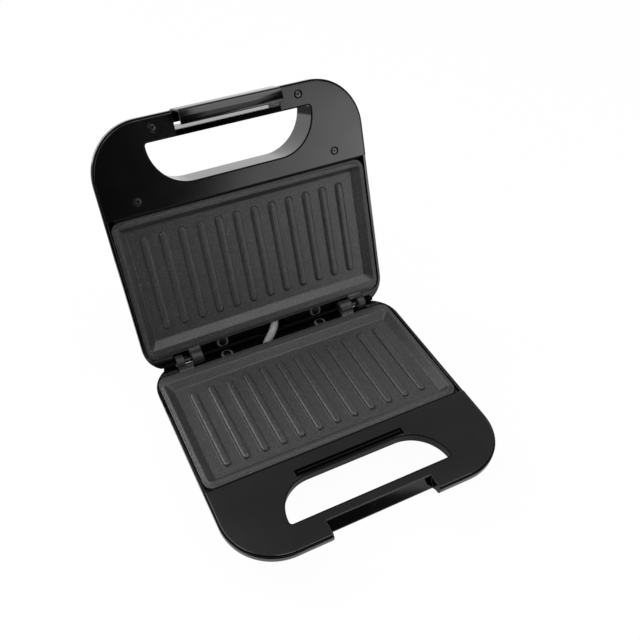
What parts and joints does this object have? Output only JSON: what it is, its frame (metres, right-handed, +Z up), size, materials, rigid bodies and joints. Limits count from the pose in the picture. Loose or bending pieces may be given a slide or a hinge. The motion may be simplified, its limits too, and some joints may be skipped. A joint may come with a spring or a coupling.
{
  "type": "sandwich maker",
  "caption": "Hinged contact sandwich press standing open: ribbed non-stick plates in dark housings, a finger hole through each handle end, and a latch clip.",
  "frame": {"origin": "centre of the whole outline seen from above, at the level of the four feet", "axes": "+Z up; -Y towards the user and the handle of the base; +Y to the hinge side, over which the open lid leans; +X to the user's right, along the hinge axis"},
  "size_m": [0.2268, 0.2968, 0.2286],
  "materials": {
    "housing": "gloss moulded black",
    "handle_deck": "semi-gloss moulded black",
    "grill_plate": "cast, dark speckled non-stick coat, satin",
    "heater_sheath": "drawn tube, heat-tinted",
    "reflector": "folded mill-finish sheet",
    "inner_screws": "zinc plated",
    "strip": "satin moulded black",
    "black_screws": "black oxide",
    "pin_steel": "ground pin",
    "thermostat": "brown phenolic with a steel cap",
    "fuse_sleeve": "woven glass sleeve",
    "ceramic": "unglazed steatite",
    "rubber": "matt moulded black",
    "lead_sleeve": "grey silicone-coated glass sleeve",
    "carrier": "natural nylon",
    "lamp_glass": "clear bulb",
    "lens_red": "tinted clear red",
    "lens_green": "tinted clear green",
    "latch": "gloss moulded black"
  },
  "bodies": {
    "base": {"base_shell": "housing", "base_handle_deck": "handle_deck", "base_grill_plate": "grill_plate", "base_heater": "heater_sheath", "base_heat_reflector": "reflector", "base_plate_screws": "inner_screws", "base_deck_screws": "inner_screws", "base_rear_strip": "strip", "base_strip_screws": "black_screws", "hinge_pins": "pin_steel", "thermostat": "thermostat", "base_thermal_fuse": "fuse_sleeve", "base_terminal_block": "ceramic", "cord_gland": "rubber", "crossover_lead": "lead_sleeve", "foot_front_left": "rubber", "foot_front_right": "rubber", "foot_rear_left": "rubber", "foot_rear_right": "rubber"},
    "lid": {"lid_shell": "housing", "lid_handle_deck": "handle_deck", "lid_grill_plate": "grill_plate", "lid_heater": "heater_sheath", "lid_heat_reflector": "reflector", "lid_plate_screws": "inner_screws", "lid_deck_screws": "black_screws", "lid_rear_strip": "strip", "lid_strip_screws": "black_screws", "lid_thermal_fuse": "fuse_sleeve", "lid_terminal_block": "ceramic", "lamp_carrier": "carrier", "neon_lamps": "lamp_glass", "lens_power": "lens_red", "lens_ready": "lens_green"},
    "latch": {"latch_clip": "latch"}
  },
  "joints": [
    {"name": "lid_hinge", "type": "hinge", "parent": "base", "child": "lid", "pos_m": [0, 0.05116, 0.042], "axis": [1, 0, 0], "range_deg": [0, 112.75], "deforming": ["crossover_lead"]},
    {"name": "latch_pivot", "type": "hinge", "parent": "lid", "child": "latch", "pos_m": [0, 0.14111, 0.21204], "axis": [-1, 0, 0], "range_deg": [-9, 35]}
  ]
}
